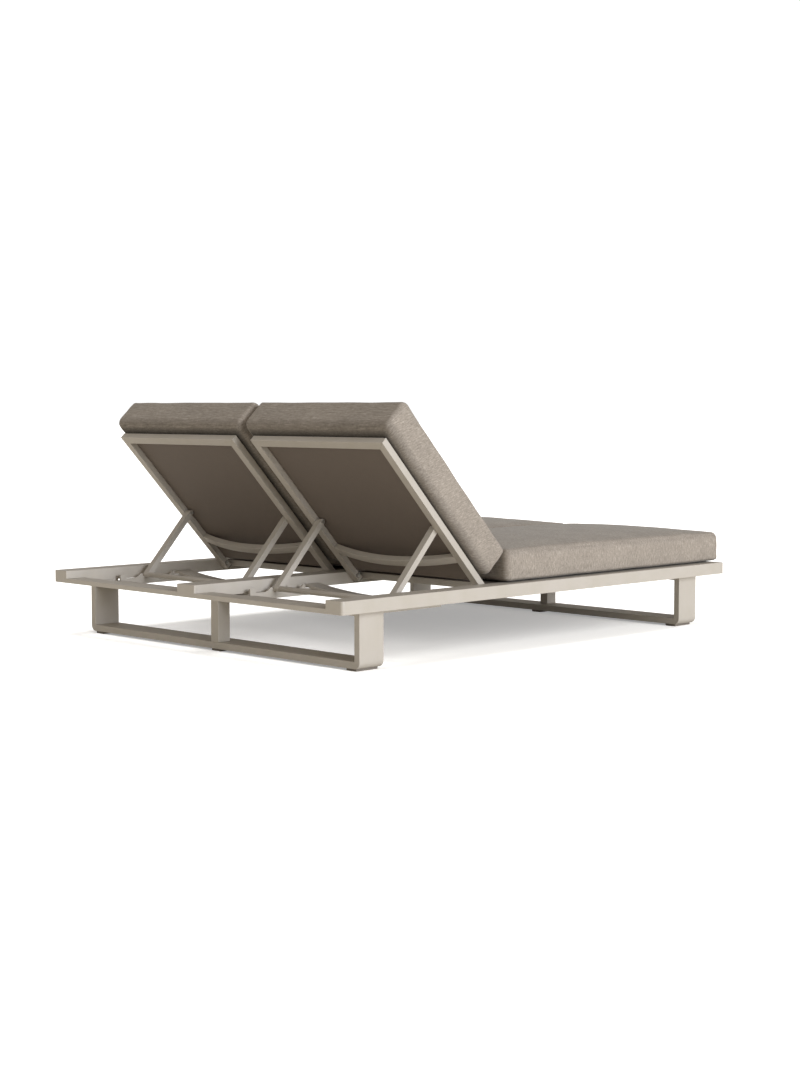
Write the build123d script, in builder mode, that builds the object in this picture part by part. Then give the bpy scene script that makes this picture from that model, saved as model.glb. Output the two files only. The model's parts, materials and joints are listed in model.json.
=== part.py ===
"""Double chaise lounger: a low aluminium frame on two sledge legs, with two bays side by side.

Each bay has a sling and a seat cushion, and a reclining back that a propping stay holds on toothed racks.
Millimetres, +Z up, floor at z = 0, +Y towards the head end, origin under the middle of the frame.
"left" is the +X bay and "right" the -X bay.
"""
import os
from math import asin, cos, degrees, radians, sin, sqrt

from build123d import *

# Overall frame
overall_length = 2000.0
bay_width = 649.2
frame_height = 237.1
rail_height = 43.3
side_rail_width = 75.8
centre_rail_width = 91.5
rail_wall = 3.0
rail_corner_radius = 10.0
rail_cap_length = 12.0
crossbar_depth = 75.7
crossbar_height = 15.7
crossbar_wall = 2.5

# Sledge legs
leg_depth = 106.0
leg_thickness = 23.8
leg_inset = 54.5
leg_bar_height = 23.3
leg_wall = 3.0
leg_bend_radius = 22.0
leg_inner_radius = 4.0
head_leg_setback = 124.4
foot_leg_setback = 98.7
post_width = 37.8
post_depth = 52.0
tie_thickness = 12.0
tie_drop = 5.0
pad_height = 8.0
pad_margin = 6.0
pad_length = 44.0

# Bowed slat under the foot ends of the racks
slat_setback = 493.0
slat_depth = 71.0
slat_thickness = 8.0
slat_end_drop = 28.6
slat_sag = 26.5

# Racks
rack_thickness = 7.0
rack_height = 24.5
rod_seat_rise = 2.7
tooth_height = 14.3
tooth_pitch = 75.5
tooth_lip = 8.0
tooth_run = 24.0
tooth_count = 4
first_tooth_setback = 237.0
rack_head_overhang = 19.0
rack_tail = 50.0

# Reclining backs
rest_angle = 46.81
hinge_setback = 726.0
back_length = 687.1
back_tail = 24.0
tube_width = 30.9
tube_depth = 23.0
tube_wall = 2.5
tube_clearance = 1.75
tube_cap_thickness = 3.0
bow_low = 128.0
bow_width = 30.0
bow_thickness = 20.0
bow_sag = 36.0

# Slings
sling_thickness = 1.5
seat_sling_drop = 1.0
back_sling_rise = 9.0
back_sling_start = 20.0
seat_bar_depth = 30.0
seat_bar_height = 23.0
seat_bar_gap = 31.0

# Hinges and stay pivots
bolt_radius = 4.0
running_clearance = 0.05
bolt_head_radius = 6.5
bolt_head_height = 3.6
bolt_head_gap = 0.3
stay_bolt_radius = 4.0
stay_nut_radius = 5.8
bush_radius = 6.0
flange_radius = 8.5
flange_thickness = 1.0
nut_radius = 7.4
nut_height = 7.0

# Propping stays
pivot_along = 282.1
pivot_depth = 3.0
prop_width = 25.0
prop_height = 20.0
washer_thickness = 1.3
washer_gap = 0.3
rack_gap = 1.8
rod_radius = 9.5
rod_tooth = 1

# Cushions
seat_edge_height = 115.0
seat_crown = 26.0
seat_outer_overhang = 22.0
seat_middle_gap = 6.0
seat_rear_gap = 101.0
seat_foot_gap = 1.0
back_cushion_start = 30.0
back_cushion_overhang = 43.0
back_edge_height = 119.5
back_crown = 11.0
back_outer_overhang = 24.0
back_middle_gap = 12.0
cushion_clearance = 0.3
cushion_corner = 22.0
cushion_swell = 7.0
cushion_draw_in = 7.0
cushion_end_round = 16.0
end_round_steps = 3
crown_end_share = 0.35

# One overrun for every cut
overrun = 5.0

# Places that follow from the sizes
head_end = overall_length / 2
foot_end = -overall_length / 2
rail_bottom = frame_height - rail_height
rail_middle = frame_height - rail_height / 2
centre_rail_face = centre_rail_width / 2
side_rail_face = centre_rail_face + bay_width
side_rail_x = side_rail_face + side_rail_width / 2
half_width = side_rail_face + side_rail_width
bay_centre = centre_rail_face + bay_width / 2
leg_outer = half_width - leg_inset
leg_inner = leg_outer - leg_thickness
leg_bar_top = pad_height + leg_bar_height
tie_top = rail_bottom - tie_drop
tie_length = leg_inner - post_width / 2
head_leg_y = head_end - head_leg_setback - leg_depth / 2
foot_leg_y = foot_end + foot_leg_setback + leg_depth / 2
slat_end_top = frame_height - slat_end_drop
slat_near_y = head_end - slat_setback
hinge_y = head_end - hinge_setback
hinge_z = frame_height - tube_depth / 2
tube_offset = bay_width / 2 - tube_clearance - tube_width / 2
tube_inner_offset = tube_offset - tube_width / 2
tube_outer_offset = tube_offset + tube_width / 2
prop_outer_offset = tube_inner_offset - washer_thickness - washer_gap
prop_offset = prop_outer_offset - prop_width / 2
rack_offset = prop_outer_offset + rack_gap + rack_thickness / 2
rack_floor = rail_bottom + rod_seat_rise
rack_base = rack_floor - rack_height
first_tooth_y = head_end - first_tooth_setback
tooth_tips = [first_tooth_y - number * tooth_pitch for number in range(tooth_count)]
bush_bore_radius = bolt_radius + running_clearance
prop_bore_radius = stay_bolt_radius + running_clearance
bow_front = bow_thickness - tube_depth / 2
slope = radians(rest_angle)

# The back lies on a plane through its hinge: x along the hinge, y up the back, z out of its front.
back_plane = Plane(origin=(0, hinge_y, hinge_z), x_dir=(1, 0, 0), z_dir=(0, -sin(slope), cos(slope)))
pivot_y = hinge_y + pivot_along * cos(slope) + pivot_depth * sin(slope)
pivot_z = hinge_z + pivot_along * sin(slope) - pivot_depth * cos(slope)
rod_y = tooth_tips[rod_tooth] - tooth_lip - rod_radius
rod_z = rack_floor + rod_radius
prop_length = sqrt((rod_y - pivot_y) ** 2 + (rod_z - pivot_z) ** 2)
prop_slope = degrees(asin((rod_z - pivot_z) / prop_length))

os.makedirs("parts", exist_ok=True)
sides = (("left", 1), ("right", -1))
edges = (("outer", 1), ("inner", -1))


def back_section(along):
    """Plane across the back at a distance up from the hinge: x along the hinge, y out of the front."""
    origin = back_plane.from_local_coords(Vector(0, along, 0))
    return Plane(origin=origin, x_dir=back_plane.x_dir, z_dir=-back_plane.y_dir)


def seat_section(along):
    """Plane across the seat at a place along the frame: x across, y up."""
    return Plane(origin=(0, along, 0), x_dir=(1, 0, 0), z_dir=(0, -1, 0))


def cushion_outline(plane, low_x, high_x, base, top, crown):
    """Face across a cushion: flat base, swelling sides, rounded corners and a crowned top."""
    middle_x = (low_x + high_x) / 2
    middle = (base + top) / 2
    bend = cushion_corner * (1 - sqrt(0.5))
    side = (high_x - low_x) / 2 - cushion_swell
    flat = side - cushion_corner
    with BuildSketch(plane) as outline:
        with BuildLine():
            Line((middle_x - flat, base), (middle_x + flat, base))
            for sign in (1, -1):
                ThreePointArc(
                    (middle_x + sign * flat, base),
                    (middle_x + sign * (side - bend), base + bend),
                    (middle_x + sign * side, base + cushion_corner),
                )
                ThreePointArc(
                    (middle_x + sign * side, base + cushion_corner),
                    (middle_x + sign * (side + cushion_swell), middle),
                    (middle_x + sign * side, top - cushion_corner),
                )
                ThreePointArc(
                    (middle_x + sign * side, top - cushion_corner),
                    (middle_x + sign * (side - bend), top - bend),
                    (middle_x + sign * flat, top),
                )
            ThreePointArc((middle_x + flat, top), (middle_x, top + crown), (middle_x - flat, top))
        make_face()
    return outline.sketch.face()


def cushion(section, low_x, high_x, low_y, high_y, base, top, crown):
    """Boxed cushion lofted from end to end: full in the middle, drawn in and rounded at both ends."""

    def outline(along, rise, inset):
        return cushion_outline(
            section(along), low_x + inset, high_x - inset, base + inset / 2, top - inset, rise
        )

    end_rise = crown * crown_end_share
    with BuildPart() as body:
        main = (
            outline(low_y + cushion_end_round, end_rise, cushion_draw_in),
            outline((low_y + high_y) / 2, crown, 0),
            outline(high_y - cushion_end_round, end_rise, cushion_draw_in),
        )
        loft(sections=main)
        for end_y, way in ((low_y, 1), (high_y, -1)):
            turns = [radians(90 * step / end_round_steps) for step in range(end_round_steps + 1)]
            rounded = [
                outline(
                    end_y + way * cushion_end_round * (1 - sin(turn)),
                    end_rise,
                    cushion_draw_in + cushion_end_round * (1 - cos(turn)),
                )
                for turn in turns
            ]
            loft(sections=rounded, ruled=True)
    return body.part


# Side rails: box tubes along both sides, with holes for the hinge bolts in their inner walls
for side, sign in sides:
    with BuildPart() as side_rail:
        with BuildSketch(Plane.XZ.offset(rail_cap_length - head_end)):
            with Locations((sign * side_rail_x, rail_middle)):
                Rectangle(side_rail_width, rail_height)
                Rectangle(side_rail_width - 2 * rail_wall, rail_height - 2 * rail_wall, mode=Mode.SUBTRACT)
        extrude(amount=overall_length - 2 * rail_cap_length)
        with BuildSketch(Plane.YZ.offset(sign * (side_rail_face - overrun))):
            with Locations((hinge_y, hinge_z)):
                Circle(bolt_radius)
        extrude(amount=sign * (rail_wall + 2 * overrun), mode=Mode.SUBTRACT)
    side_rail.part.label = f"side_rail_{side}"
    export_step(side_rail.part, f"parts/side_rail_{side}.step")

# Centre rail: a wider box tube between the bays, with bolt holes in both walls
with BuildPart() as centre_rail:
    with BuildSketch(Plane.XZ.offset(rail_cap_length - head_end)):
        with Locations((0, rail_middle)):
            Rectangle(centre_rail_width, rail_height)
            Rectangle(centre_rail_width - 2 * rail_wall, rail_height - 2 * rail_wall, mode=Mode.SUBTRACT)
    extrude(amount=overall_length - 2 * rail_cap_length)
    with BuildSketch(Plane.YZ.offset(-centre_rail_face - overrun)):
        with Locations((hinge_y, hinge_z)):
            Circle(bolt_radius)
    extrude(amount=centre_rail_width + 2 * overrun, mode=Mode.SUBTRACT)
centre_rail.part.label = "centre_rail"
export_step(centre_rail.part, "parts/centre_rail.step")

# Rail end caps: solid blocks that close the rail ends, rounded at the outer corners of the head end
with BuildPart() as side_rail_caps:
    for side, sign in sides:
        for end in (1, -1):
            with BuildSketch(Plane.XY.offset(rail_bottom)):
                with Locations((sign * side_rail_x, end * (head_end - rail_cap_length / 2))):
                    Rectangle(side_rail_width, rail_cap_length)
            extrude(amount=rail_height)
    corners = side_rail_caps.edges().filter_by(Axis.Z).group_by(Axis.Y)[-1].sort_by(Axis.X)
    fillet([corners[0], corners[-1]], rail_corner_radius)
side_rail_caps.part.label = "side_rail_caps"
export_step(side_rail_caps.part, "parts/side_rail_caps.step")

with BuildPart() as centre_rail_caps:
    with BuildSketch(Plane.XY.offset(rail_bottom)):
        with Locations((0, head_end - rail_cap_length / 2), (0, foot_end + rail_cap_length / 2)):
            Rectangle(centre_rail_width, rail_cap_length)
    extrude(amount=rail_height)
centre_rail_caps.part.label = "centre_rail_caps"
export_step(centre_rail_caps.part, "parts/centre_rail_caps.step")

# Head crossbars: low flat tubes, so that the flat backs pass over them, and full foot rails
for side, sign in sides:
    with BuildPart() as head_crossbar:
        with BuildSketch(Plane.YZ.offset(sign * centre_rail_face)):
            with Locations((head_end - crossbar_depth / 2, rail_bottom + crossbar_height / 2)):
                Rectangle(crossbar_depth, crossbar_height)
                Rectangle(
                    crossbar_depth - 2 * crossbar_wall,
                    crossbar_height - 2 * crossbar_wall,
                    mode=Mode.SUBTRACT,
                )
        extrude(amount=sign * bay_width)
    head_crossbar.part.label = f"head_crossbar_{side}"
    export_step(head_crossbar.part, f"parts/head_crossbar_{side}.step")

    with BuildPart() as foot_rail:
        with BuildSketch(Plane.YZ.offset(sign * centre_rail_face)):
            with Locations((foot_end + side_rail_width / 2, rail_middle)):
                Rectangle(side_rail_width, rail_height)
                Rectangle(side_rail_width - 2 * rail_wall, rail_height - 2 * rail_wall, mode=Mode.SUBTRACT)
        extrude(amount=sign * bay_width)
    foot_rail.part.label = f"foot_rail_{side}"
    export_step(foot_rail.part, f"parts/foot_rail_{side}.step")

# Sledge legs: one flat tube bent down, along the floor and up again, hollow and open at both tops
for name, middle_y in (("head_leg_frame", head_leg_y), ("foot_leg_frame", foot_leg_y)):
    with BuildPart() as leg_frame:
        with BuildSketch(Plane.XZ.offset(-middle_y - leg_depth / 2)) as outline:
            with Locations((0, (pad_height + rail_bottom) / 2)):
                Rectangle(2 * leg_outer, rail_bottom - pad_height)
            with Locations((0, (leg_bar_top + rail_bottom) / 2)):
                Rectangle(2 * leg_inner, rail_bottom - leg_bar_top, mode=Mode.SUBTRACT)
            fillet(outline.vertices().group_by(Axis.Y)[0], leg_bend_radius)
            fillet(outline.vertices().filter_by_position(Axis.Y, leg_bar_top, leg_bar_top), leg_inner_radius)
        extrude(amount=leg_depth)
        with BuildSketch(Plane.XZ.offset(-middle_y - leg_depth / 2 + leg_wall)) as cavity:
            with Locations((0, (pad_height + leg_wall + rail_bottom) / 2)):
                Rectangle(2 * (leg_outer - leg_wall), rail_bottom - pad_height - leg_wall)
            with Locations((0, (leg_bar_top - leg_wall + rail_bottom) / 2)):
                Rectangle(
                    2 * (leg_inner + leg_wall),
                    rail_bottom - leg_bar_top + leg_wall,
                    mode=Mode.SUBTRACT,
                )
            fillet(cavity.vertices().group_by(Axis.Y)[0], leg_bend_radius - leg_wall)
        extrude(amount=leg_depth - 2 * leg_wall, mode=Mode.SUBTRACT)
    leg_frame.part.label = name
    export_step(leg_frame.part, f"parts/{name}.step")

# Centre posts: box tubes flush with the outward faces of the sledge legs
with BuildPart() as centre_posts:
    with BuildSketch(Plane.XY.offset(leg_bar_top)):
        with Locations(
            (0, head_leg_y + (leg_depth - post_depth) / 2),
            (0, foot_leg_y - (leg_depth - post_depth) / 2),
        ):
            Rectangle(post_width, post_depth)
            Rectangle(post_width - 2 * leg_wall, post_depth - 2 * leg_wall, mode=Mode.SUBTRACT)
    extrude(amount=rail_bottom - leg_bar_top)
centre_posts.part.label = "centre_posts"
export_step(centre_posts.part, "parts/centre_posts.step")

# Tie bars: flat bars between the tops of the legs, which stay hidden behind the crossbar
with BuildPart() as tie_bars:
    with BuildSketch(Plane.XY.offset(tie_top - tie_thickness)):
        for side, sign in sides:
            tie_x = sign * (post_width / 2 + tie_length / 2)
            with Locations((tie_x, head_leg_y), (tie_x, foot_leg_y)):
                Rectangle(tie_length, leg_depth)
    extrude(amount=tie_thickness)
tie_bars.part.label = "tie_bars"
export_step(tie_bars.part, "parts/tie_bars.step")

# Floor pads under the legs and posts
with BuildPart() as floor_pads:
    with BuildSketch():
        for middle_y in (head_leg_y, foot_leg_y):
            pad_x = leg_outer - leg_bend_radius - pad_length / 2
            with Locations((pad_x, middle_y), (-pad_x, middle_y), (0, middle_y)):
                Rectangle(pad_length, leg_depth - 2 * pad_margin)
    extrude(amount=pad_height)
floor_pads.part.label = "floor_pads"
export_step(floor_pads.part, "parts/floor_pads.step")

# Bowed slats between the rails of each bay, with the racks' tails under them
for side, sign in sides:
    middle_x = sign * bay_centre
    low_x = middle_x - bay_width / 2
    high_x = middle_x + bay_width / 2
    with BuildPart() as base_slat:
        with BuildSketch(Plane.XZ.offset(-slat_near_y)):
            with BuildLine():
                ThreePointArc(
                    (low_x, slat_end_top),
                    (middle_x, slat_end_top - slat_sag),
                    (high_x, slat_end_top),
                )
                Line((high_x, slat_end_top), (high_x, slat_end_top - slat_thickness))
                ThreePointArc(
                    (high_x, slat_end_top - slat_thickness),
                    (middle_x, slat_end_top - slat_sag - slat_thickness),
                    (low_x, slat_end_top - slat_thickness),
                )
                Line((low_x, slat_end_top - slat_thickness), (low_x, slat_end_top))
            make_face()
        extrude(amount=slat_depth)
    base_slat.part.label = f"base_slat_{side}"
    export_step(base_slat.part, f"parts/base_slat_{side}.step")

    # Racks: plates with hooked teeth, on the head tie bar at one end and under the bowed slat at the other
    for edge, way in edges:
        rack_x = middle_x + sign * way * rack_offset
        head_y = first_tooth_y + rack_head_overhang
        tail_y = slat_near_y - rack_tail
        tie_y = head_leg_y - leg_depth / 2
        with BuildPart() as rack:
            with BuildSketch(Plane.YZ.offset(rack_x - rack_thickness / 2)):
                with Locations(((tail_y + tie_y) / 2, (rack_base + rack_floor) / 2)):
                    Rectangle(tie_y - tail_y, rack_height)
                with Locations(((tie_y + head_y) / 2, (tie_top + rack_floor) / 2)):
                    Rectangle(head_y - tie_y, rack_floor - tie_top)
                with Locations(((first_tooth_y + head_y) / 2, rack_floor + tooth_height / 2)):
                    Rectangle(head_y - first_tooth_y, tooth_height)
                for tip_y in tooth_tips:
                    flank_y = tip_y - tooth_lip
                    run_y = min(tip_y + tooth_run, head_y)
                    with BuildLine():
                        Line((run_y, rack_floor), (flank_y, rack_floor))
                        Line((flank_y, rack_floor), (flank_y, rack_floor + tooth_height - tooth_lip / 2))
                        RadiusArc(
                            (flank_y, rack_floor + tooth_height - tooth_lip / 2),
                            (tip_y, rack_floor + tooth_height),
                            tooth_lip,
                        )
                        RadiusArc((tip_y, rack_floor + tooth_height), (run_y, rack_floor), -2 * tooth_run)
                    make_face()
            extrude(amount=rack_thickness)
            add(base_slat.part, mode=Mode.SUBTRACT)
        rack.part.label = f"rack_{side}_{edge}"
        export_step(rack.part, f"parts/rack_{side}_{edge}.step")

# Seat bars carry the rear edges of the seat slings, a hand's width in front of the hinges
for side, sign in sides:
    bar_y = hinge_y - seat_bar_gap - seat_bar_depth / 2
    sling_top = frame_height - seat_sling_drop
    sling_bottom = sling_top - sling_thickness
    with BuildPart() as seat_bar:
        with BuildSketch(Plane.YZ.offset(sign * centre_rail_face)):
            with Locations((bar_y, sling_bottom - seat_bar_height / 2)):
                Rectangle(seat_bar_depth, seat_bar_height)
                Rectangle(seat_bar_depth - 2 * tube_wall, seat_bar_height - 2 * tube_wall, mode=Mode.SUBTRACT)
        extrude(amount=sign * bay_width)
    seat_bar.part.label = f"seat_bar_{side}"
    export_step(seat_bar.part, f"parts/seat_bar_{side}.step")

    # Seat sling: tight fabric from the foot rail to the seat bar
    with BuildPart() as seat_sling:
        sling_foot = foot_end + side_rail_width
        sling_rear = bar_y + seat_bar_depth / 2
        with BuildSketch(Plane.XY.offset(sling_bottom)):
            with Locations((sign * bay_centre, (sling_foot + sling_rear) / 2)):
                Rectangle(bay_width, sling_rear - sling_foot)
        extrude(amount=sling_thickness)
    seat_sling.part.label = f"seat_sling_{side}"
    export_step(seat_sling.part, f"parts/seat_sling_{side}.step")

    # Seat cushion: boxed and crowned, resting on the rails
    seat_edges = sorted((sign * seat_middle_gap, sign * (side_rail_face + seat_outer_overhang)))
    seat_cushion = cushion(
        seat_section,
        seat_edges[0],
        seat_edges[1],
        foot_end + seat_foot_gap,
        hinge_y - seat_rear_gap,
        frame_height,
        frame_height + seat_edge_height,
        seat_crown,
    )
    seat_cushion.label = f"seat_cushion_{side}"
    export_step(seat_cushion, f"parts/seat_cushion_{side}.step")

# Hinge bolts: one through each side tube of the backs into the rail beside it, with a nut inside the rail
with BuildPart() as hinge_bolts:
    for side, sign in sides:
        for edge, way in edges:
            out = sign * way
            head_x = sign * bay_centre + out * (tube_inner_offset - flange_thickness - bolt_head_gap)
            tip_x = sign * bay_centre + out * (bay_width / 2 + rail_wall + nut_height)
            with BuildSketch(Plane.YZ.offset(head_x)):
                with Locations((hinge_y, hinge_z)):
                    Circle(bolt_radius)
            extrude(amount=tip_x - head_x)
            with BuildSketch(Plane.YZ.offset(head_x)):
                with Locations((hinge_y, hinge_z)):
                    Circle(bolt_head_radius)
            extrude(amount=-out * bolt_head_height)
hinge_bolts.part.label = "hinge_bolts"
export_step(hinge_bolts.part, "parts/hinge_bolts.step")

with BuildPart() as hinge_nuts:
    for side, sign in sides:
        for edge, way in edges:
            out = sign * way
            with BuildSketch(Plane.YZ.offset(sign * bay_centre + out * (bay_width / 2 + rail_wall))):
                with Locations((hinge_y, hinge_z)):
                    RegularPolygon(nut_radius, 6)
                    Circle(bolt_radius, mode=Mode.SUBTRACT)
            extrude(amount=out * nut_height)
hinge_nuts.part.label = "hinge_nuts"
export_step(hinge_nuts.part, "parts/hinge_nuts.step")

# Reclining backs
for side, sign in sides:
    middle_x = sign * bay_centre
    rear = back_plane.offset(-tube_depth / 2)
    inside = back_plane.offset(tube_wall - tube_depth / 2)

    # Side tubes: box tubes, mitred at the top, bored for the hinge bush and the stay pivot
    for edge, way in edges:
        out = sign * way
        outer_x = middle_x + out * tube_outer_offset
        inner_x = middle_x + out * tube_inner_offset
        with BuildPart() as side_tube:
            with BuildSketch(rear):
                with BuildLine():
                    Polyline(
                        (outer_x, tube_cap_thickness - back_tail),
                        (outer_x, back_length),
                        (inner_x, back_length - tube_width),
                        (inner_x, tube_cap_thickness - back_tail),
                        close=True,
                    )
                make_face()
            extrude(amount=tube_depth)
            with BuildSketch(inside):
                with BuildLine():
                    Polyline(
                        (outer_x - out * tube_wall, -back_tail),
                        (outer_x - out * tube_wall, back_length - tube_wall),
                        (inner_x + out * tube_wall, back_length - tube_width + tube_wall),
                        (inner_x + out * tube_wall, -back_tail),
                        close=True,
                    )
                make_face()
            extrude(amount=tube_depth - 2 * tube_wall, mode=Mode.SUBTRACT)
            with BuildSketch(Plane.YZ.offset(inner_x - out * overrun)):
                with Locations((hinge_y, hinge_z)):
                    Circle(bush_radius)
            extrude(amount=out * (tube_width + 2 * overrun), mode=Mode.SUBTRACT)
            with BuildSketch(Plane.YZ.offset(inner_x - out * overrun)):
                with Locations((pivot_y, pivot_z)):
                    Circle(stay_bolt_radius)
            extrude(amount=out * (tube_wall + overrun), mode=Mode.SUBTRACT)
        side_tube.part.label = f"back_{side}_{edge}_tube"
        export_step(side_tube.part, f"parts/back_{side}_{edge}_tube.step")

    with BuildPart() as top_tube:
        with BuildSketch(rear):
            with BuildLine():
                Polyline(
                    (middle_x - tube_outer_offset, back_length),
                    (middle_x + tube_outer_offset, back_length),
                    (middle_x + tube_inner_offset, back_length - tube_width),
                    (middle_x - tube_inner_offset, back_length - tube_width),
                    close=True,
                )
            make_face()
        extrude(amount=tube_depth)
        with BuildSketch(inside):
            with BuildLine():
                Polyline(
                    (middle_x - tube_outer_offset + tube_wall, back_length - tube_wall),
                    (middle_x + tube_outer_offset - tube_wall, back_length - tube_wall),
                    (middle_x + tube_inner_offset + tube_wall, back_length - tube_width + tube_wall),
                    (middle_x - tube_inner_offset - tube_wall, back_length - tube_width + tube_wall),
                    close=True,
                )
            make_face()
        extrude(amount=tube_depth - 2 * tube_wall, mode=Mode.SUBTRACT)
    top_tube.part.label = f"back_{side}_top_tube"
    export_step(top_tube.part, f"parts/back_{side}_top_tube.step")

    # Bowed bar between the side tubes, curved away from the sitter
    with BuildPart() as bow_bar:
        with BuildSketch(back_section(bow_low)):
            low_x = middle_x - tube_inner_offset
            high_x = middle_x + tube_inner_offset
            with BuildLine():
                ThreePointArc((low_x, bow_front), (middle_x, bow_front - bow_sag), (high_x, bow_front))
                Line((high_x, bow_front), (high_x, bow_front - bow_thickness))
                ThreePointArc(
                    (high_x, bow_front - bow_thickness),
                    (middle_x, bow_front - bow_thickness - bow_sag),
                    (low_x, bow_front - bow_thickness),
                )
                Line((low_x, bow_front - bow_thickness), (low_x, bow_front))
            make_face()
        extrude(amount=-bow_width)
    bow_bar.part.label = f"back_{side}_bow_bar"
    export_step(bow_bar.part, f"parts/back_{side}_bow_bar.step")

    # Back sling: tight fabric between the tubes
    with BuildPart() as back_sling:
        with BuildSketch(back_plane.offset(back_sling_rise)):
            with Locations((middle_x, (back_sling_start + back_length - tube_width) / 2)):
                Rectangle(2 * tube_inner_offset, back_length - tube_width - back_sling_start)
        extrude(amount=sling_thickness)
    back_sling.part.label = f"back_{side}_sling"
    export_step(back_sling.part, f"parts/back_{side}_sling.step")

    # End caps of the side tubes, and flanged bushes that turn on the hinge bolts
    with BuildPart() as tube_caps:
        with BuildSketch(back_section(-back_tail)):
            with Locations((middle_x - tube_offset, 0), (middle_x + tube_offset, 0)):
                Rectangle(tube_width, tube_depth)
        extrude(amount=-tube_cap_thickness)
    tube_caps.part.label = f"back_{side}_tube_caps"
    export_step(tube_caps.part, f"parts/back_{side}_tube_caps.step")

    with BuildPart() as hinge_bushes:
        for edge, way in edges:
            out = sign * way
            inner_x = middle_x + out * tube_inner_offset
            outer_x = middle_x + out * tube_outer_offset
            with BuildSketch(Plane.YZ.offset(inner_x)):
                with Locations((hinge_y, hinge_z)):
                    Circle(bush_radius)
            extrude(amount=outer_x - inner_x)
            for flange_x, flange_way in ((inner_x, -out), (outer_x, out)):
                with BuildSketch(Plane.YZ.offset(flange_x)):
                    with Locations((hinge_y, hinge_z)):
                        Circle(flange_radius)
                extrude(amount=flange_way * flange_thickness)
            with BuildSketch(Plane.YZ.offset(inner_x - out * overrun)):
                with Locations((hinge_y, hinge_z)):
                    Circle(bush_bore_radius)
            extrude(amount=out * (tube_width + 2 * overrun), mode=Mode.SUBTRACT)
    hinge_bushes.part.label = f"back_{side}_hinge_bushes"
    export_step(hinge_bushes.part, f"parts/back_{side}_hinge_bushes.step")

    # Stay pivots: bolts from the props into the side tubes, with washers between and nuts inside the tubes
    with BuildPart() as stay_bolts:
        for edge, way in edges:
            out = sign * way
            head_x = middle_x + out * (prop_outer_offset - prop_width - bolt_head_gap)
            tip_x = middle_x + out * (tube_inner_offset + tube_wall + nut_height)
            with BuildSketch(Plane.YZ.offset(head_x)):
                with Locations((pivot_y, pivot_z)):
                    Circle(stay_bolt_radius)
            extrude(amount=tip_x - head_x)
            with BuildSketch(Plane.YZ.offset(head_x)):
                with Locations((pivot_y, pivot_z)):
                    Circle(bolt_head_radius)
            extrude(amount=-out * bolt_head_height)
    stay_bolts.part.label = f"back_{side}_stay_bolts"
    export_step(stay_bolts.part, f"parts/back_{side}_stay_bolts.step")

    with BuildPart() as stay_washers:
        for edge, way in edges:
            out = sign * way
            with BuildSketch(Plane.YZ.offset(middle_x + out * tube_inner_offset)):
                with Locations((pivot_y, pivot_z)):
                    Circle(flange_radius)
                    Circle(stay_bolt_radius, mode=Mode.SUBTRACT)
            extrude(amount=-out * washer_thickness)
    stay_washers.part.label = f"back_{side}_stay_washers"
    export_step(stay_washers.part, f"parts/back_{side}_stay_washers.step")

    with BuildPart() as stay_nuts:
        for edge, way in edges:
            out = sign * way
            with BuildSketch(Plane.YZ.offset(middle_x + out * (tube_inner_offset + tube_wall))):
                with Locations((pivot_y, pivot_z)):
                    RegularPolygon(stay_nut_radius, 6)
                    Circle(stay_bolt_radius, mode=Mode.SUBTRACT)
            extrude(amount=out * nut_height)
    stay_nuts.part.label = f"back_{side}_stay_nuts"
    export_step(stay_nuts.part, f"parts/back_{side}_stay_nuts.step")

    # Back cushion: boxed and crowned, lying on the tubes and over the top of the frame
    middle_edge = sign * back_middle_gap
    outer_edge = sign * (side_rail_face + back_outer_overhang)
    back_cushion = cushion(
        back_section,
        min(middle_edge, outer_edge),
        max(middle_edge, outer_edge),
        back_cushion_start,
        back_length + back_cushion_overhang,
        tube_depth / 2 + cushion_clearance,
        tube_depth / 2 + back_edge_height,
        back_crown,
    )
    back_cushion.label = f"back_{side}_cushion"
    export_step(back_cushion, f"parts/back_{side}_cushion.step")

    # Propping stay: two flat bars with round ends, joined by the rod that drops into the racks
    for edge, way in edges:
        prop_x = middle_x + sign * way * prop_offset
        with BuildPart() as prop:
            with BuildSketch(Plane.YZ.offset(prop_x - prop_width / 2)):
                with Locations(((pivot_y + rod_y) / 2, (pivot_z + rod_z) / 2)):
                    SlotCenterToCenter(prop_length, prop_height, rotation=prop_slope)
                with Locations((pivot_y, pivot_z)):
                    Circle(prop_bore_radius, mode=Mode.SUBTRACT)
            extrude(amount=prop_width)
        prop.part.label = f"stay_{side}_{edge}_prop"
        export_step(prop.part, f"parts/stay_{side}_{edge}_prop.step")

    with BuildPart() as rod:
        rod_reach = prop_outer_offset - prop_width
        with BuildSketch(Plane.YZ.offset(middle_x - rod_reach)):
            with Locations((rod_y, rod_z)):
                Circle(rod_radius)
        extrude(amount=2 * rod_reach)
    rod.part.label = f"stay_{side}_rod"
    export_step(rod.part, f"parts/stay_{side}_rod.step")

print("hinge", hinge_y, hinge_z)
print("stay pivot", round(pivot_y, 3), round(pivot_z, 3), "rod", round(rod_y, 3), round(rod_z, 3))
print("prop length", round(prop_length, 3), "slope", round(prop_slope, 3))
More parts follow.
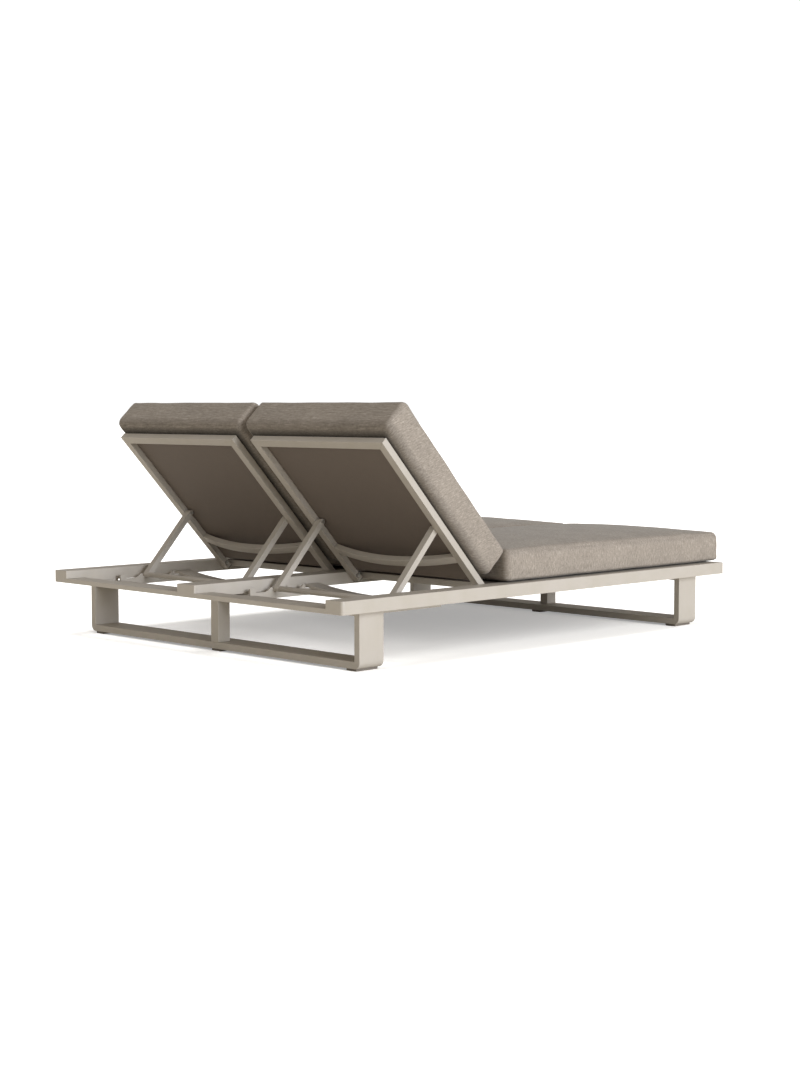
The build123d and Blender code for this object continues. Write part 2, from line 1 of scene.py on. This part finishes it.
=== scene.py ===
"""Double chaise lounger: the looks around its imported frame.

Metres, +Z up, floor at z = 0, +Y towards the head end, "left" is the +X bay.
"""
import json
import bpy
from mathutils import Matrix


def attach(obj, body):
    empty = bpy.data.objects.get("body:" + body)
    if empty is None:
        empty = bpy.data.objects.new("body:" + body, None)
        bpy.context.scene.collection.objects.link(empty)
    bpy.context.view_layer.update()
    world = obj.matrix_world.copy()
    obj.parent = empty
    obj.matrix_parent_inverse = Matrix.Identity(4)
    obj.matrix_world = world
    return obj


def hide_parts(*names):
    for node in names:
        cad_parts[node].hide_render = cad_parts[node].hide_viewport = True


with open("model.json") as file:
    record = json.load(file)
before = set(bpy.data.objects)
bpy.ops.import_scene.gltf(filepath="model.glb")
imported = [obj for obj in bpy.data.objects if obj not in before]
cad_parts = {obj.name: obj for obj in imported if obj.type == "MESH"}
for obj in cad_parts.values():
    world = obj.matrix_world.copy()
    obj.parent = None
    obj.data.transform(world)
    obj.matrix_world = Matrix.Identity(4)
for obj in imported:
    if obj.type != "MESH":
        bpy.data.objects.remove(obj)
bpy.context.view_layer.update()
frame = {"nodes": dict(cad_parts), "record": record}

from types import SimpleNamespace

import bpy
import numpy as np
from mathutils import Vector

rng = np.random.default_rng(7)
scene = bpy.context.scene

SIDES = (("left", 1.0), ("right", -1.0))

# A panel is its origin, the direction up along it, and the direction out of it. The seats'
# panel is level, and the backs' starts at their hinges, with their slope at rest.
X_AXIS, Y_AXIS, Z_AXIS = np.eye(3)
REST_SLOPE = np.radians(46.81)
HINGE = np.array([0.0, 0.2740, 0.2256])
ALONG_BACK = np.array([0.0, np.cos(REST_SLOPE), np.sin(REST_SLOPE)])
OUT_OF_BACK = np.array([0.0, -np.sin(REST_SLOPE), np.cos(REST_SLOPE)])
SEAT_PANEL = (np.zeros(3), Y_AXIS, Z_AXIS)
BACK_PANEL = (HINGE, ALONG_BACK, OUT_OF_BACK)


# Camera and light

# Solved on the frame's straight edges
CAMERA_PLACE = (-4.79854, 4.77050, 0.83353)
CAMERA_AIM = (0.70605, -0.70470, -0.06996)
LENS_MM = 61.13
SENSOR_MM = 36.0
VIEW_LIMIT = 200.0
# A sun lights the same from any distance
SUN_DISTANCE = 6


def aim(thing, direction):
    """Turns a camera or a light to look along a direction."""
    thing.rotation_mode = "QUATERNION"
    thing.rotation_quaternion = Vector(direction).to_track_quat("-Z", "Y")


def make_camera():
    """Camera where the photograph was taken from: low, off the head corner of the right bay."""
    data = bpy.data.cameras.new("studio_camera")
    data.sensor_width = SENSOR_MM
    data.lens = LENS_MM
    data.clip_end = VIEW_LIMIT
    camera = bpy.data.objects.new("studio_camera", data)
    camera.location = CAMERA_PLACE
    aim(camera, CAMERA_AIM)
    scene.collection.objects.link(camera)
    scene.camera = camera


def make_soft_sun(name, bearing, elevation, spread, strength, tint, state, floor):
    """Far soft light: bearing is its turn from the right side towards the head end.

    Spread is how wide it looks. The state is INCLUDE where it lights only the floor, and
    EXCLUDE where it lights all but the floor.
    """
    data = bpy.data.lights.new(name, "SUN")
    data.energy = strength
    data.angle = np.radians(spread)
    data.color = tint
    light = bpy.data.objects.new(name, data)
    turn, rise = np.radians(bearing), np.radians(elevation)
    source = Vector((-np.cos(rise) * np.cos(turn), np.cos(rise) * np.sin(turn), np.sin(rise)))
    light.location = source * SUN_DISTANCE
    aim(light, -source)
    scene.collection.objects.link(light)
    reached = bpy.data.collections.new(name + "_reach")
    reached.objects.link(floor)
    light.light_linking.receiver_collection = reached
    reached.collection_objects[0].light_linking.link_state = state


# Nodes and colours

def linear(code):
    """Linear colour of an sRGB hex code: each channel by the sRGB curve."""
    channels = np.array([int(code[at:at + 2], 16) for at in (1, 3, 5)]) / 255
    curve = np.where(channels <= 0.04045, channels / 12.92, ((channels + 0.055) / 1.055) ** 2.4)
    return (*curve.tolist(), 1.0)


def add(tree, kind, settings=None, inputs=None):
    """Adds a node, sets its properties, and gives its inputs a value or a link each."""
    made = tree.nodes.new(kind)
    for key, value in (settings or {}).items():
        setattr(made, key, value)
    for key, value in (inputs or {}).items():
        if isinstance(value, bpy.types.NodeSocket):
            tree.links.new(value, made.inputs[key])
        else:
            made.inputs[key].default_value = value
    return made


def object_place(tree):
    """Place in the object's own coordinates, in metres."""
    return add(tree, "ShaderNodeTexCoord").outputs["Object"]


def cloth_place(tree):
    """Place on the cloth map, in metres."""
    return add(tree, "ShaderNodeUVMap", {"uv_map": "cloth"}).outputs["UV"]


def stretched(tree, place, scale, shift=0.0):
    """A place times a scale for each axis, then shifted along the first two."""
    inputs = {"Vector": place, "Location": (shift, shift, 0.0), "Scale": scale}
    return add(tree, "ShaderNodeMapping", None, inputs).outputs["Vector"]


def noise(tree, place, scale, detail, roughness=0.5):
    """Noise with cells 1 / scale metres across."""
    inputs = {"Vector": place, "Scale": scale, "Detail": detail, "Roughness": roughness}
    return add(tree, "ShaderNodeTexNoise", None, inputs).outputs["Fac"]


def weave(tree, cloth, scale, distortion=0.0):
    """Plain weave: two crossing waves, whose threads are 0.314 / scale metres apart."""
    inputs = {"Vector": cloth, "Scale": scale, "Distortion": distortion}
    weft, warp = (
        add(tree, "ShaderNodeTexWave", {"bands_direction": way}, inputs).outputs["Fac"]
        for way in "XY"
    )
    return add(tree, "ShaderNodeMath", {"operation": "MULTIPLY"}, {0: weft, 1: warp}).outputs[0]


def weighted_sum(tree, *terms):
    """Sum of terms, each a value and its weight."""
    total = 0.0
    for value, weight in terms:
        inputs = {0: value, 1: weight, 2: total}
        total = add(tree, "ShaderNodeMath", {"operation": "MULTIPLY_ADD"}, inputs).outputs[0]
    return total


def between(tree, value, low, high):
    """A value from 0 to 1 carried over to the range from low to high."""
    inputs = {"Value": value, "To Min": low, "To Max": high}
    return add(tree, "ShaderNodeMapRange", None, inputs).outputs["Result"]


def ramp(tree, value, *colours):
    """Colour that a ramp of (place, code) stops gives for a value."""
    made = add(tree, "ShaderNodeValToRGB", None, {"Fac": value})
    elements = made.color_ramp.elements
    for at, (place, code) in enumerate(colours):
        stop = elements[at] if at < len(elements) else elements.new(place)
        stop.position = place
        stop.color = linear(code)
    return made.outputs["Color"]


def tinted(tree, colour, tint):
    """Product of two colours."""
    inputs = {0: colour, 1: tint}
    return add(tree, "ShaderNodeVectorMath", {"operation": "MULTIPLY"}, inputs).outputs["Vector"]


def bumped(tree, height, strength, distance):
    """Normal over a relief, whose height of 0 to 1 stands for that distance in metres."""
    inputs = {"Strength": strength, "Distance": distance, "Height": height}
    return add(tree, "ShaderNodeBump", None, inputs).outputs["Normal"]


def new_material(name):
    """Material and its node tree, which is empty."""
    material = bpy.data.materials.new(name)
    material.use_nodes = True
    tree = material.node_tree
    tree.nodes.clear()
    return material, tree


def finish_material(tree, inputs):
    """Gives the tree a shader with these inputs, and its output."""
    shader = add(tree, "ShaderNodeBsdfPrincipled", None, inputs)
    add(tree, "ShaderNodeOutputMaterial", None, {"Surface": shader.outputs[0]})


# Materials

def make_powder_coat():
    """Powder-coated aluminium: an even satin skin with fine orange peel and faint clouds."""
    material, tree = new_material("powder_coated_aluminium")
    place = object_place(tree)
    # Clouds 60 mm across in tone and gloss, and orange peel with cells of 1.5 mm
    clouds = noise(tree, place, 16.0, 3.0)
    peel = noise(tree, place, 650.0, 2.0)
    finish_material(tree, {
        "Base Color": ramp(tree, clouds, (0.3, "#AEA699"), (0.7, "#B2AA9F")),
        "Roughness": between(tree, clouds, 0.46, 0.56),
        "IOR": 1.5,
        "Normal": bumped(tree, peel, 0.12, 0.0003),
    })
    return material


def make_heather_fabric():
    """Woven olefin in a heather mix: pale and dark slubs over a weave, matt and a bit fuzzy."""
    material, tree = new_material("woven_heather_olefin")
    cloth = cloth_place(tree)

    def slubs(length, width, detail, shift):
        """Noise drawn out along the yarn: one cell is a slub of that size in metres."""
        place = stretched(tree, cloth, (1 / length, 1 / width, 1.0), shift)
        return noise(tree, place, 1.0, detail, 0.6)

    # Slubs 20 mm long and 5 mm wide are coarser than the yarn, so that they show from afar
    long_slubs = slubs(0.020, 0.0050, 3.0, 0.0)
    short_slubs = slubs(0.009, 0.0036, 2.0, 4.0)
    cross_yarns = slubs(0.0040, 0.010, 2.0, 9.0)
    mixed = weighted_sum(tree, (long_slubs, 0.5), (short_slubs, 0.3), (cross_yarns, 0.2))
    tone = ramp(
        tree, mixed, (0.30, "#736A5E"), (0.44, "#8D8377"), (0.54, "#9B9185"), (0.68, "#B5AA9D")
    )
    # Patches 90 mm across, where the mix of yarns turns paler and darker
    patches = noise(tree, cloth, 11.0, 1.0)
    tone = tinted(tree, tone, ramp(tree, patches, (0.35, "#F4F4F4"), (0.65, "#FFFFFF")))
    # Painted shade: the cloth is darkened over the base panel and its rounding, most at the
    # crease along the frame, where the shade falls
    painted_crease_shade = add(tree, "ShaderNodeAttribute", {"attribute_name": "painted_crease_shade"}).outputs["Fac"]
    shade = ramp(
        tree, painted_crease_shade, (0.0, "#FFFFFF"), (0.80, "#DEDEDE"), (0.92, "#D8D8D8"), (1.0, "#707070")
    )
    # A weave drawn coarser than the real one, with threads 3.1 mm apart, and raised slubs
    threads = weave(tree, cloth, 100.0, 0.6)
    relief = weighted_sum(tree, (threads, 1.0), (mixed, 1.5))
    finish_material(tree, {
        "Base Color": tinted(tree, tone, shade),
        "Roughness": 0.92,
        "IOR": 1.45,
        "Specular IOR Level": 0.25,
        "Sheen Weight": 0.20,
        "Sheen Roughness": 0.4,
        "Sheen Tint": linear("#D3D4D0"),
        "Normal": bumped(tree, relief, 0.35, 0.0006),
    })
    return material


def make_sling_mesh():
    """PVC-coated polyester mesh: tight basket weave, dark taupe with a faint plastic gloss."""
    material, tree = new_material("coated_polyester_mesh")
    # Drawn coarser than the real one, with strands 4 mm apart
    basket = weave(tree, cloth_place(tree), 78.0)
    finish_material(tree, {
        "Base Color": ramp(tree, basket, (0.0, "#655A50"), (0.8, "#73675D")),
        "Roughness": 0.72,
        "IOR": 1.5,
        "Normal": bumped(tree, basket, 0.3, 0.0004),
    })
    return material


def make_moulded_nylon():
    """Injection-moulded nylon: matt taupe, with the fine spark texture of its mould."""
    material, tree = new_material("moulded_nylon")
    grain = noise(tree, object_place(tree), 1200.0, 2.0)
    finish_material(tree, {
        "Base Color": ramp(tree, grain, (0.3, "#6E655B"), (0.7, "#786F64")),
        "Roughness": 0.6,
        "IOR": 1.53,
        "Normal": bumped(tree, grain, 0.3, 0.0002),
    })
    return material


def make_brushed_steel():
    """Stainless steel fixings: turned heads with fine brushing, bright against the paint."""
    material, tree = new_material("brushed_stainless_steel")
    # Brush lines 5 mm long and 0.3 mm wide
    lines = noise(tree, stretched(tree, object_place(tree), (200.0, 3000.0, 3000.0)), 1.0, 2.0)
    finish_material(tree, {
        "Base Color": linear("#C9C8C4"),
        "Metallic": 1.0,
        "Roughness": between(tree, lines, 0.28, 0.42),
    })
    return material


materials = {
    "frame_paint": make_powder_coat(),
    "cushion_fabric": make_heather_fabric(),
    "sling_mesh": make_sling_mesh(),
    "taupe_nylon": make_moulded_nylon(),
    "stainless_steel": make_brushed_steel(),
}


# Meshes from arrays

def points_of(mesh):
    """Places of a mesh's vertices as an array."""
    places = np.empty(3 * len(mesh.vertices), np.float32)
    mesh.vertices.foreach_get("co", places)
    return places.reshape(-1, 3).astype(float)


def set_points(mesh, points):
    """Gives a mesh's vertices their places from an array."""
    mesh.vertices.foreach_set("co", points.astype(np.float32).ravel())


def grid_quads(shape):
    """Quads of a grid of points, which are numbered row by row."""
    index = np.arange(shape[0] * shape[1]).reshape(shape)
    corners = (index[:-1, :-1], index[1:, :-1], index[1:, 1:], index[:-1, 1:])
    return np.stack([corner.ravel() for corner in corners], 1)


def to_world(local, panel):
    """Row-frame places of points given as x, distance up a panel, and distance out of it."""
    origin, up, out = panel
    return origin + local[:, :1] * X_AXIS + local[:, 1:2] * up + local[:, 2:] * out


def node_box(node, panel):
    """Lowest and highest corner of a CAD node in a panel's own axes."""
    origin, up, out = panel
    places = points_of(frame["nodes"][node].data) - origin
    local = np.stack([places[:, 0], places @ up, places @ out], 1)
    return local.min(0), local.max(0)


def make_piece(name, points, quads, body, slot, cloth):
    """Mesh object riding on a body, with a place on the cloth for every corner of its quads."""
    mesh = bpy.data.meshes.new(name)
    mesh.vertices.add(len(points))
    set_points(mesh, points)
    mesh.loops.add(quads.size)
    mesh.loops.foreach_set("vertex_index", quads.astype(np.int32).ravel())
    mesh.polygons.add(len(quads))
    starts = np.arange(0, quads.size, quads.shape[1], dtype=np.int32)
    mesh.polygons.foreach_set("loop_start", starts)
    mesh.update(calc_edges=True)
    mesh.validate()
    mesh.shade_smooth()
    mesh.uv_layers.new(name="cloth").data.foreach_set("uv", cloth.astype(np.float32).ravel())
    mesh.materials.append(materials[slot])
    piece = bpy.data.objects.new(name, mesh)
    scene.collection.objects.link(piece)
    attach(piece, body)
    return piece


# Cushions

# A cover's grid has steps of this length on its flats, half as long up its sides, and this
# many steps round each corner
FLAT_STEP = 0.014
CORNER_STEPS = 6
# Decimals to which the points of two faces agree where they meet
SAME_PLACE = 7
# Axes along and across the slubs on the faces that look along x, y and z
SLUB_AXES = ((2, 1), (0, 2), (0, 1))
# Each face and each cover is cut from its own part of the cloth
FIRST_CUT, FACE_CUT, COVER_CUT = 3.1, 1.7, 4.37
# The cloth of the end strips is mapped longer, because their slubs look longest
END_STRIP_STRETCH = 0.45

# Uneven filling: waves of this height, with at most this many half turns from the middle of
# a cover to its sides, ends and panels
WAVES = 24
WAVE_TURNS = np.array([4, 7, 3])
WAVE_HEIGHT = 0.00008

# Cloth of the filling simulation, and the share of its movement that is kept, up to a cap
COVER_CLOTH = {
    "quality": 6,
    "mass": 0.35,
    "tension_stiffness": 18,
    "compression_stiffness": 18,
    "shear_stiffness": 8,
    "bending_stiffness": 1.2,
    "use_pressure": True,
    "uniform_pressure_force": 3.0,
}
SIM_FRAMES = 20
SIM_SHARE = 0.35
MOVE_CAP = 0.004

# The crown falls off with these powers towards the sides and towards the ends, and then with
# a third power, which flattens its middle
CROWN_ACROSS, CROWN_ALONG, CROWN_FLATNESS = 2, 3, 0.8
SEAM_DEPTH = 0.0007
# A point of the plain box is on a face from this share of the way to it
ON_FACE = 0.9999

# The two kinds of cushion, in their panel's own axes: how far they reach from the middle of
# the lounger across, along and out, their rounding, taper and grain as the functions below
# take them, and how far the middle of their top rises
SEAT = SimpleNamespace(
    panel=SEAT_PANEL, across=(0.003, 0.742), along=(-1.014, 0.205), out=(0.2372, 0.3545),
    corner=(0.026, 0.020, 0.030, 0.010), taper=(0.0, 0.002, 0.010), grain=0.0, crown=0.023,
)
BACK = SimpleNamespace(
    panel=BACK_PANEL, across=(0.008, 0.722), along=(0.028, 0.7315), out=(0.0115, 0.1462),
    corner=(0.020, 0.024, 0.018, 0.014), taper=(0.025, 0.029, 0.034), grain=np.radians(-23),
    crown=0.007,
)


def stops(half, corner, step):
    """Places along one side of a box: even on its flat, then at equal angles at its corners."""
    rounding = half - corner + corner * np.tan(np.linspace(0, np.pi / 4, CORNER_STEPS + 1))
    steps = int(np.ceil(2 * (half - corner) / step))
    flat = np.linspace(corner - half, half - corner, steps + 1)
    return np.concatenate([-rounding[:0:-1], flat, rounding[1:]])


def plain_box(half, corner, grain):
    """Closed box of six grids, with steps for corners of those radii.

    Returns its points, its quads and the cloth map of every quad corner. The slubs run across
    the cushion on its panels and ends, and up its sides, where they lean by the grain's angle.
    """
    steps = (FLAT_STEP, FLAT_STEP, FLAT_STEP / 2)
    places = [stops(h, c, step) for h, c, step in zip(half, corner, steps)]
    points, quads, cloth = [], [], []
    start = 0
    for axis in range(3):
        first, second = (axis + 1) % 3, (axis + 2) % 3
        a, b = np.meshgrid(places[first], places[second], indexing="ij")
        for sign in (1, -1):
            face = np.zeros((a.size, 3))
            face[:, axis] = sign * half[axis]
            face[:, first] = a.ravel()
            face[:, second] = b.ravel()
            quad = grid_quads(a.shape)[:, ::sign]
            slub, across = (face[quad, run] for run in SLUB_AXES[axis])
            if axis == 0:
                slub, across = (
                    slub * np.cos(grain) + across * np.sin(grain),
                    across * np.cos(grain) - slub * np.sin(grain),
                )
            elif axis == 1:
                slub = END_STRIP_STRETCH * slub
            cut = FIRST_CUT + FACE_CUT * (2 * axis + (sign + 1) / 2)
            cloth.append(np.stack([slub + cut, across + cut], -1).reshape(-1, 2))
            points.append(face)
            quads.append(quad + start)
            start += a.size
    points = np.round(np.concatenate(points), SAME_PLACE)
    points, joined = np.unique(points, axis=0, return_inverse=True)
    return points, joined.ravel()[np.concatenate(quads)], np.concatenate(cloth)


def rounded(plain, half, corner, taper):
    """Rounds the points of a plain box, and draws them in towards its base.

    The corner's first three numbers are radii along x, y and z, and its fourth is the radius
    along z in the lower half. Each point is pulled onto an ellipsoid round the nearest point of
    the box that is smaller by those radii. The taper's first two numbers are how far the base
    is drawn in along x and y, which grows by a quarter of an ellipse over its third, a height.
    Returns the points, and how deep each is in the drawn-in base, for the painted crease shade.
    """
    inset = np.array(taper[:2])
    radii = np.where(plain[:, 2:] > 0, corner[:3], (corner[0], corner[1], corner[3]))
    core = np.clip(plain, radii - half, half - radii)
    reach = (plain - core) / radii
    points = core + radii * reach / np.linalg.norm(reach, axis=1, keepdims=True)
    depth = np.clip(1 - (points[:, 2:] + half[2]) / taper[2], 0, 1)
    points[:, :2] *= 1 - inset / half[:2] * (1 - np.sqrt(1 - depth**2))
    return points, np.sqrt(depth[:, 0])


cushions = []


def start_cushion(name, node, body, kind, sign):
    """Cover before its filling, in the panel's own axes."""
    across = sorted((sign * kind.across[0], sign * kind.across[1]))
    low, high = np.array([across, kind.along, kind.out]).T
    half, middle = (high - low) / 2, (high + low) / 2
    plain, quads, cloth = plain_box(half, kind.corner, kind.grain)
    points, depth = rounded(plain, half, kind.corner, kind.taper)
    share = plain / half
    for *turns, phase in rng.uniform(-1, 1, (WAVES, 4)):
        angle = share @ (WAVE_TURNS * turns) * np.pi + phase * np.pi
        points += WAVE_HEIGHT * np.sin(angle)[:, None] * (points / half)
    cloth = cloth + COVER_CUT * len(cushions)
    piece = make_piece(name, points, quads, body, "cushion_fabric", cloth)
    # How deep each point is in the base sets the painted shade along the crease at the frame
    painted_crease_shade = piece.data.attributes.new("painted_crease_shade", "FLOAT", "POINT")
    painted_crease_shade.data.foreach_set("value", depth.astype(np.float32))
    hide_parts(node)
    cushions.append((piece, share, middle, half, kind))


def inflate(pieces):
    """Fills the covers: cloth simulation with pressure and no gravity, kept in part."""
    for piece in pieces:
        cloth = piece.modifiers.new("filling", "CLOTH").settings
        for key, value in COVER_CLOTH.items():
            setattr(cloth, key, value)
        cloth.effector_weights.gravity = 0
    for step in range(1, SIM_FRAMES + 1):
        scene.frame_set(step)
    graph = bpy.context.evaluated_depsgraph_get()
    for piece in pieces:
        rest = points_of(piece.data)
        shift = SIM_SHARE * (points_of(piece.evaluated_get(graph).data) - rest)
        length = np.linalg.norm(shift, axis=1, keepdims=True)
        shift *= np.minimum(1, MOVE_CAP / np.maximum(length, 1e-9))
        piece.modifiers.clear()
        set_points(piece.data, rest + shift)
        piece.data.update()
    scene.frame_set(1)


def end_cushion(piece, share, middle, half, kind):
    """Fits the filled cover to its size, crowns it, sinks its seams, and puts it in place."""
    mesh = piece.data
    points = points_of(mesh)
    low, high = points.min(0), points.max(0)
    points = (points - (low + high) / 2) * (2 * half / (high - low))
    # Highest in the middle of the top panel, and nothing at its seams
    across, along = np.abs(share[:, 0]) ** CROWN_ACROSS, np.abs(share[:, 1]) ** CROWN_ALONG
    rise = (1 - across) ** CROWN_FLATNESS * (1 - along) ** CROWN_FLATNESS
    points[:, 2] += kind.crown * rise * (share[:, 2] > ON_FACE)
    # The seams run where the panels meet the sides and ends
    seams = (np.abs(share[:, 2]) > ON_FACE) & (np.abs(share[:, :2]).max(1) > ON_FACE)
    normals = np.empty(3 * len(mesh.vertices), np.float32)
    mesh.vertices.foreach_get("normal", normals)
    points[seams] -= SEAM_DEPTH * normals.reshape(-1, 3)[seams]
    set_points(mesh, to_world(points + middle, kind.panel))
    mesh.update()
    softer = piece.modifiers.new("softer", "SUBSURF")
    softer.levels = softer.render_levels = 1


for side, sign in SIDES:
    start_cushion(f"seat_cushion_{side}_cover", f"seat_cushion_{side}", "base", SEAT, sign)
    start_cushion(
        f"back_cushion_{side}_cover", f"back_{side}_cushion", f"back_{side}", BACK, sign
    )
inflate([row[0] for row in cushions])
for row in cushions:
    end_cushion(*row)


# Slings

SHEET_LINES = 97
SHEET_WALL = 0.0012
# The lower face lies this far under the top of the CAD sling, so the upper one ends just
# under that top
SHEET_DROP = 0.0013
SEAT_SAG, BACK_SAG = 0.004, 0.0025
HEM_WIDTH, HEM_DEPTH = 0.018, 0.0006


def make_sling(name, node, body, sag, panel):
    """Tight mesh sheet between its holders, which sags both ways and has a folded hem."""
    low, high = node_box(node, panel)
    across = np.linspace(low[0], high[0], SHEET_LINES)
    along = np.linspace(low[1], high[1], SHEET_LINES)
    x, y = np.meshgrid(across, along, indexing="ij")
    u = 2 * (x - low[0]) / (high[0] - low[0]) - 1
    v = 2 * (y - low[1]) / (high[1] - low[1]) - 1
    edge = np.minimum(np.minimum(x - low[0], high[0] - x), np.minimum(y - low[1], high[1] - y))
    hem = HEM_DEPTH * (edge < HEM_WIDTH)
    z = high[2] - SHEET_DROP - sag * (1 - u**2) * (1 - v**2) - hem
    local = np.stack([x.ravel(), y.ravel(), z.ravel()], 1)
    quads = grid_quads(x.shape)
    cloth = local[quads][..., :2].reshape(-1, 2)
    piece = make_piece(name, to_world(local, panel), quads, body, "sling_mesh", cloth)
    wall = piece.modifiers.new("wall", "SOLIDIFY")
    wall.thickness = SHEET_WALL
    wall.offset = 1.0
    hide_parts(node)


for side, sign in SIDES:
    make_sling(
        f"seat_mesh_{side}", f"seat_sling_{side}", "base", SEAT_SAG, SEAT_PANEL,
    )
    make_sling(
        f"back_mesh_{side}", f"back_{side}_sling", f"back_{side}", BACK_SAG, BACK_PANEL,
    )


# Frame nodes: their own shapes with the finish of their slot

# Painted edges are softened by a bevel. It needs joined faces, and the nodes' meshes are loose
# triangles, so a weld comes first. Both are modifiers and leave the meshes as they are.
WELD_REACH = 0.00001
EDGE_WIDTH = 0.0012
EDGE_STEPS = 2
EDGE_ANGLE = np.radians(50)

slot_of = {row["node"]: row["material_slot"] for row in frame["record"]["subparts"]}
for node, thing in frame["nodes"].items():
    if thing.hide_render:
        continue
    thing.data.materials.clear()
    thing.data.materials.append(materials[slot_of[node]])
    if slot_of[node] == "frame_paint":
        joined = thing.modifiers.new("joined", "WELD")
        joined.merge_threshold = WELD_REACH
        edges = thing.modifiers.new("soft_edges", "BEVEL")
        edges.width = EDGE_WIDTH
        edges.segments = EDGE_STEPS
        edges.limit_method = "ANGLE"
        edges.angle_limit = EDGE_ANGLE


# Stage

FLOOR_REACH = 60.0
FLOOR_GLOW = 0.32
# Strength of the white surround, as light on the object and as the camera sees it
AMBIENT, BACKDROP = 0.52, 1.05
# Name, bearing, elevation and spread in degrees, strength, tint, and state of each soft sun
SUNS = (
    ("key_light", 0.0, 12.0, 30.0, 2.95, (0.94, 1.0, 1.11), "EXCLUDE"),
    ("overhead_light", 0.0, 88.0, 34.0, 2.3, (1.0, 1.0, 1.0), "INCLUDE"),
    ("skirting_light", 8.0, 24.0, 40.0, 3.2, (1.0, 1.0, 1.0), "INCLUDE"),
)


def make_floor():
    """Pale seamless floor that stays white where light reaches it."""
    mesh = bpy.data.meshes.new("studio_floor")
    corners = ((-1, -1), (1, -1), (1, 1), (-1, 1))
    places = [(x * FLOOR_REACH, y * FLOOR_REACH, 0) for x, y in corners]
    mesh.from_pydata(places, [], [(0, 1, 2, 3)])
    material, tree = new_material("matt_white_backdrop")
    # White to the camera, and grey in the light that it throws back up
    seen = add(tree, "ShaderNodeLightPath").outputs["Is Camera Ray"]
    glow = add(tree, "ShaderNodeMath", {"operation": "MULTIPLY"}, {0: seen, 1: FLOOR_GLOW})
    finish_material(tree, {
        "Base Color": ramp(tree, seen, (0.0, "#C2BFB8"), (1.0, "#F2F2F1")),
        "Roughness": 1.0,
        "Specular IOR Level": 0.0,
        "Emission Color": linear("#FFFFFF"),
        "Emission Strength": glow.outputs[0],
    })
    mesh.materials.append(material)
    floor = bpy.data.objects.new("studio_floor", mesh)
    scene.collection.objects.link(floor)
    return floor


def make_surround():
    """White surround: full white where the camera sees it, and softer as light."""
    world = bpy.data.worlds.new("studio_surround")
    scene.world = world
    world.use_nodes = True
    tree = world.node_tree
    tree.nodes.clear()
    seen = add(tree, "ShaderNodeLightPath").outputs["Is Camera Ray"]
    back = add(tree, "ShaderNodeBackground", None, {
        "Color": ramp(tree, seen, (0.0, "#FFF9F2"), (1.0, "#FFFFFF")),
        "Strength": between(tree, seen, AMBIENT, BACKDROP),
    })
    add(tree, "ShaderNodeOutputWorld", None, {"Surface": back.outputs[0]})


make_camera()
studio_floor = make_floor()
make_surround()
for sun in SUNS:
    make_soft_sun(*sun, studio_floor)
scene.view_settings.view_transform = "Standard"
